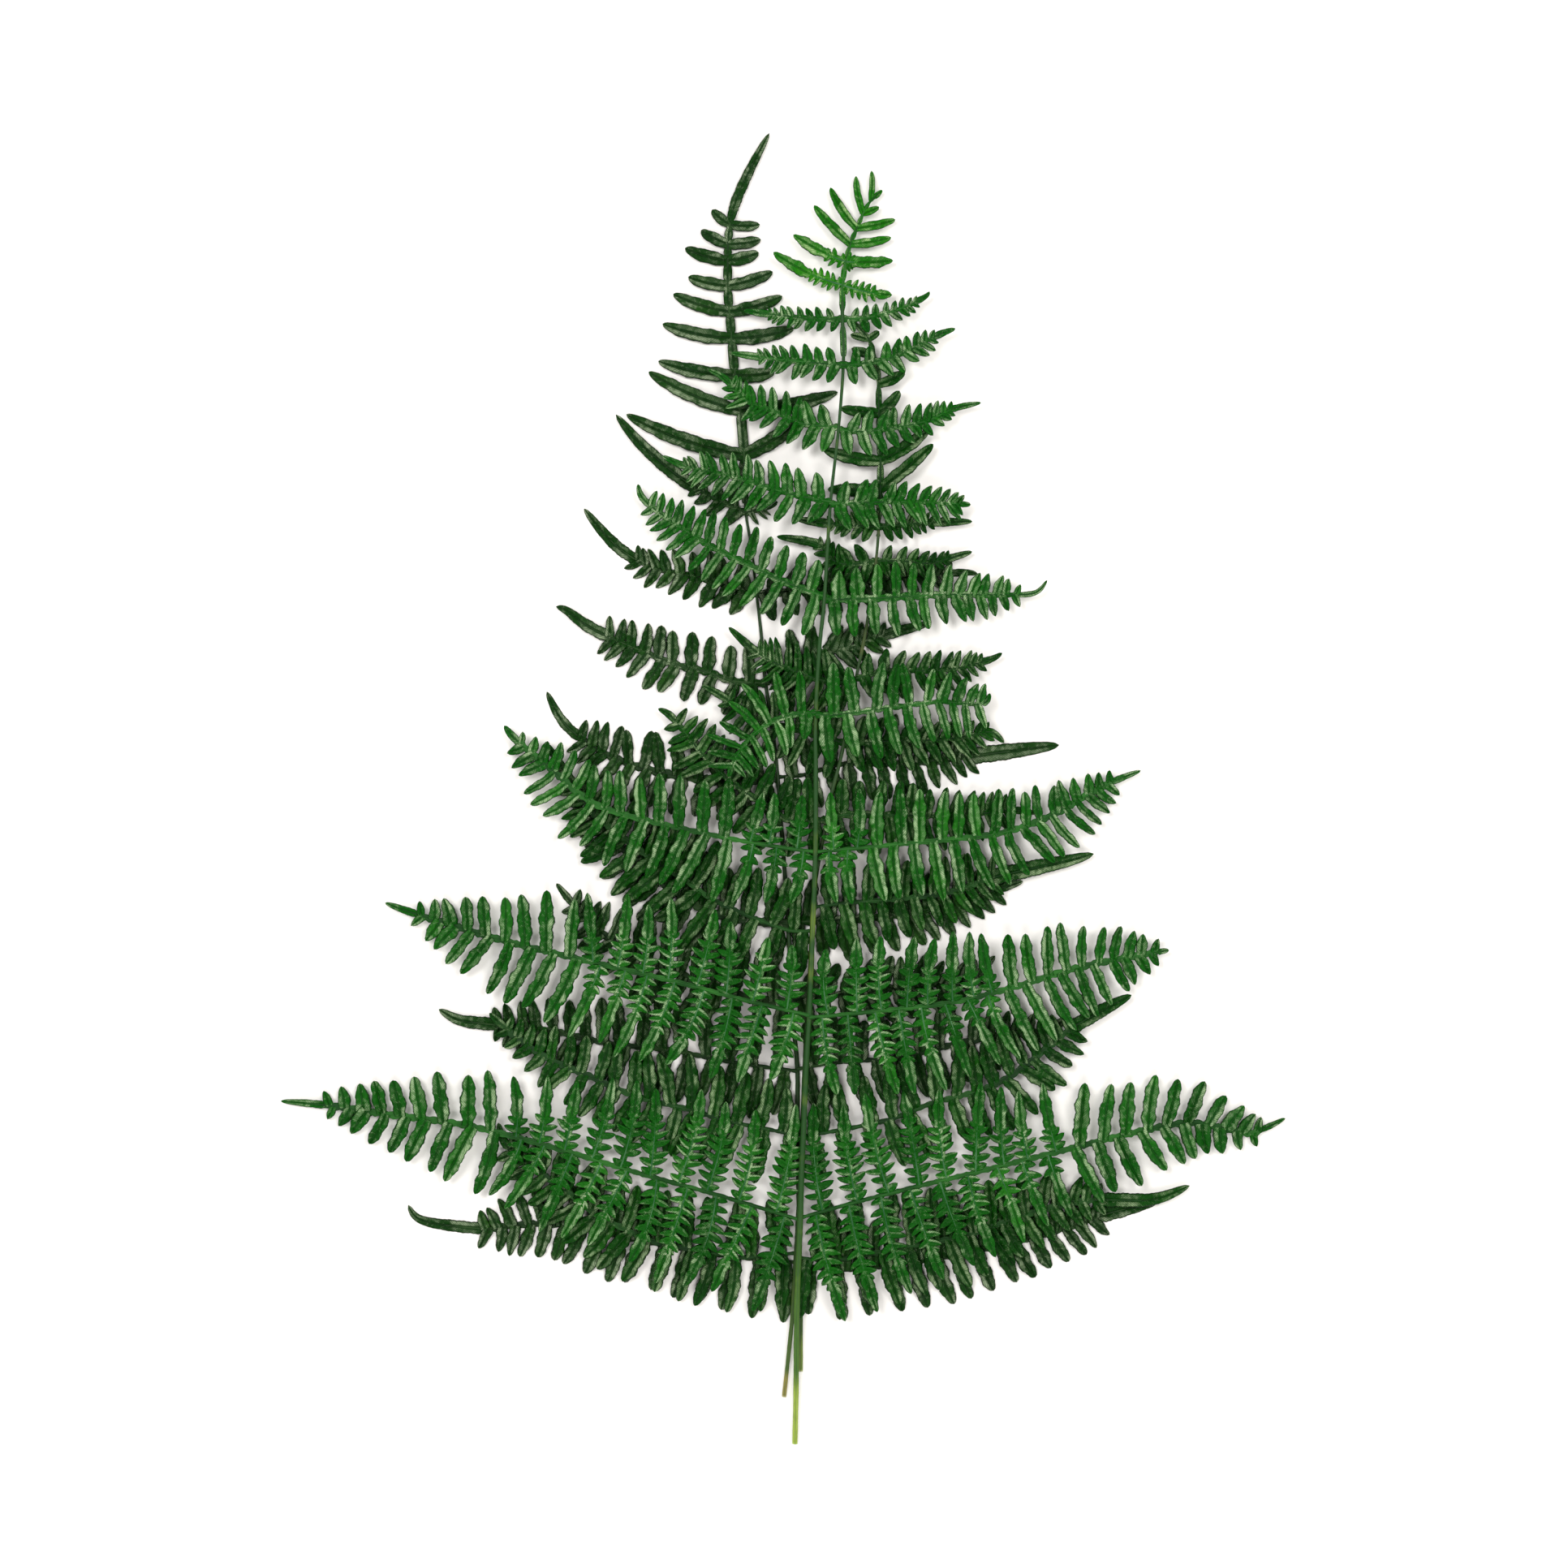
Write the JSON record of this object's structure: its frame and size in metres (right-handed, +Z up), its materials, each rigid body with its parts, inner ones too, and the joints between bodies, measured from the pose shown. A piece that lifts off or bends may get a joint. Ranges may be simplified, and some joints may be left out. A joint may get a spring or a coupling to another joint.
{
  "type": "bunch of cut fern fronds",
  "caption": "Flat-lying bunch of cut bracken fronds with comb-like side leaves, one frond on top of the others, bare stems crossing at the foot.",
  "frame": {"origin": "middle of the bunch's outline, at the surface it lies on", "axes": "+Y along the stems from the cut ends towards the frond tips, +Z up out of the surface it lies on, towards the front frond, +X to the right seen from above"},
  "size_m": [0.471, 0.615, 0.0162],
  "materials": {
    "front_leaf": "satin",
    "back_left_leaf": "satin",
    "back_right_leaf": "satin",
    "front_stem": "satin",
    "back_left_stem": "satin",
    "back_right_stem": "satin"
  },
  "bodies": {
    "root": {"back_left_frond_left_pinna_01": "back_left_leaf", "back_left_frond_left_pinna_02": "back_left_leaf", "back_left_frond_left_pinna_03": "back_left_leaf", "back_left_frond_left_pinna_04": "back_left_leaf", "back_left_frond_left_pinna_05": "back_left_leaf", "back_left_frond_left_pinna_06": "back_left_leaf", "back_left_frond_left_pinna_07": "back_left_leaf", "back_left_frond_left_pinna_08": "back_left_leaf", "back_left_frond_rachis": "back_left_stem", "back_left_frond_right_pinna_01": "back_left_leaf", "back_left_frond_right_pinna_02": "back_left_leaf", "back_left_frond_right_pinna_03": "back_left_leaf", "back_left_frond_right_pinna_04": "back_left_leaf", "back_left_frond_right_pinna_05": "back_left_leaf", "back_left_frond_right_pinna_06": "back_left_leaf", "back_left_frond_right_pinna_07": "back_left_leaf", "back_left_frond_right_pinna_08": "back_left_leaf", "back_left_frond_tip": "back_left_leaf", "back_right_frond_left_pinna_01": "back_right_leaf", "back_right_frond_left_pinna_02": "back_right_leaf", "back_right_frond_left_pinna_03": "back_right_leaf", "back_right_frond_left_pinna_04": "back_right_leaf", "back_right_frond_left_pinna_05": "back_right_leaf", "back_right_frond_left_pinna_06": "back_right_leaf", "back_right_frond_left_pinna_07": "back_right_leaf", "back_right_frond_left_pinna_08": "back_right_leaf", "back_right_frond_rachis": "back_right_stem", "back_right_frond_right_pinna_01": "back_right_leaf", "back_right_frond_right_pinna_02": "back_right_leaf", "back_right_frond_right_pinna_03": "back_right_leaf", "back_right_frond_right_pinna_04": "back_right_leaf", "back_right_frond_right_pinna_05": "back_right_leaf", "back_right_frond_right_pinna_06": "back_right_leaf", "back_right_frond_right_pinna_07": "back_right_leaf", "back_right_frond_right_pinna_08": "back_right_leaf", "back_right_frond_tip": "back_right_leaf", "front_frond_left_pinna_01": "front_leaf", "front_frond_left_pinna_02": "front_leaf", "front_frond_left_pinna_03": "front_leaf", "front_frond_left_pinna_04": "front_leaf", "front_frond_left_pinna_05": "front_leaf", "front_frond_left_pinna_06": "front_leaf", "front_frond_left_pinna_07": "front_leaf", "front_frond_left_pinna_08": "front_leaf", "front_frond_left_pinna_09": "front_leaf", "front_frond_rachis": "front_stem", "front_frond_right_pinna_01": "front_leaf", "front_frond_right_pinna_02": "front_leaf", "front_frond_right_pinna_03": "front_leaf", "front_frond_right_pinna_04": "front_leaf", "front_frond_right_pinna_05": "front_leaf", "front_frond_right_pinna_06": "front_leaf", "front_frond_right_pinna_07": "front_leaf", "front_frond_right_pinna_08": "front_leaf", "front_frond_right_pinna_09": "front_leaf", "front_frond_tip": "front_leaf"}
  },
  "joints": []
}
